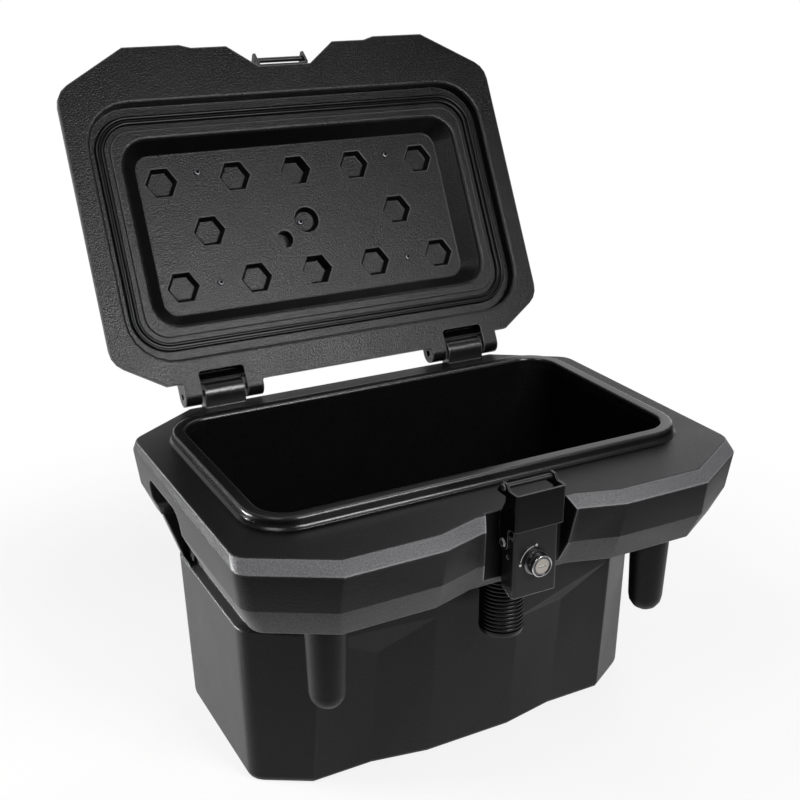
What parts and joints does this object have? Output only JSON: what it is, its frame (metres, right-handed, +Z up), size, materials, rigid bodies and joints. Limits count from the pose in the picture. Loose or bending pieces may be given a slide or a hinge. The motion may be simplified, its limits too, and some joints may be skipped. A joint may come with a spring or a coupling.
{
  "type": "utility terrain vehicle cargo box",
  "caption": "Black moulded cargo box with a faceted rim, hinged gasketed lid, hook latch with key lock, mounting posts and a rubber anchor below the front rim.",
  "frame": {"origin": "on the tub's flat underside, on the box's middle plane, below the middle of the rim's depth", "axes": "+X to the right seen from the latch side, +Y to the hinge side, +Z up"},
  "size_m": [0.632, 0.6956, 0.7884],
  "materials": {
    "black_polyethylene": "fine pebbled moulding, satin on the edges",
    "black_rubber": "matt",
    "black_powder_coat": "satin black powder coat on folded steel",
    "bright_steel": "plain zinc-plated steel",
    "chrome": "polished",
    "brass": "plain, hidden in the rim"
  },
  "bodies": {
    "box": {"tub": "black_polyethylene", "hinge_pin_left": "bright_steel", "hinge_pin_right": "bright_steel", "latch_base": "black_powder_coat", "latch_base_screw_1": "bright_steel", "latch_base_screw_2": "bright_steel", "latch_base_screw_3": "bright_steel", "latch_base_screw_4": "bright_steel", "pivot_pin": "black_powder_coat", "lock_housing": "chrome", "lock_nut": "bright_steel", "anchor_sleeve": "black_rubber", "anchor_bolt": "bright_steel", "anchor_insert": "brass"},
    "lid": {"lid": "black_polyethylene", "gasket": "black_rubber", "striker_bracket": "black_powder_coat", "striker_rod": "black_powder_coat", "striker_screw_left": "bright_steel", "striker_screw_right": "bright_steel", "lid_screw_1": "bright_steel", "lid_screw_2": "bright_steel", "lid_screw_3": "bright_steel", "lid_screw_4": "bright_steel", "round_recess_screw": "bright_steel"},
    "lever": {"latch_lever": "black_powder_coat", "latch_bar": "black_powder_coat"},
    "plug": {"lock_plug": "chrome", "lock_cam": "bright_steel", "cam_screw": "bright_steel"}
  },
  "joints": [
    {"name": "lid_hinge", "type": "hinge", "parent": "box", "child": "lid", "pos_m": [0, 0.2275, 0.3809], "axis": [1, 0, 0], "range_deg": [0, 117.35]},
    {"name": "latch_pivot", "type": "hinge", "parent": "box", "child": "lever", "pos_m": [0, -0.209, 0.3315], "axis": [1, 0, 0], "range_deg": [0, 20], "stiffness_Nm_per_rad": 0.5, "springref_deg": -20.05},
    {"name": "lock_turn", "type": "hinge", "parent": "box", "child": "plug", "pos_m": [0, -0.226, 0.309], "axis": [0, 1, 0], "range_deg": [0, 90]}
  ]
}
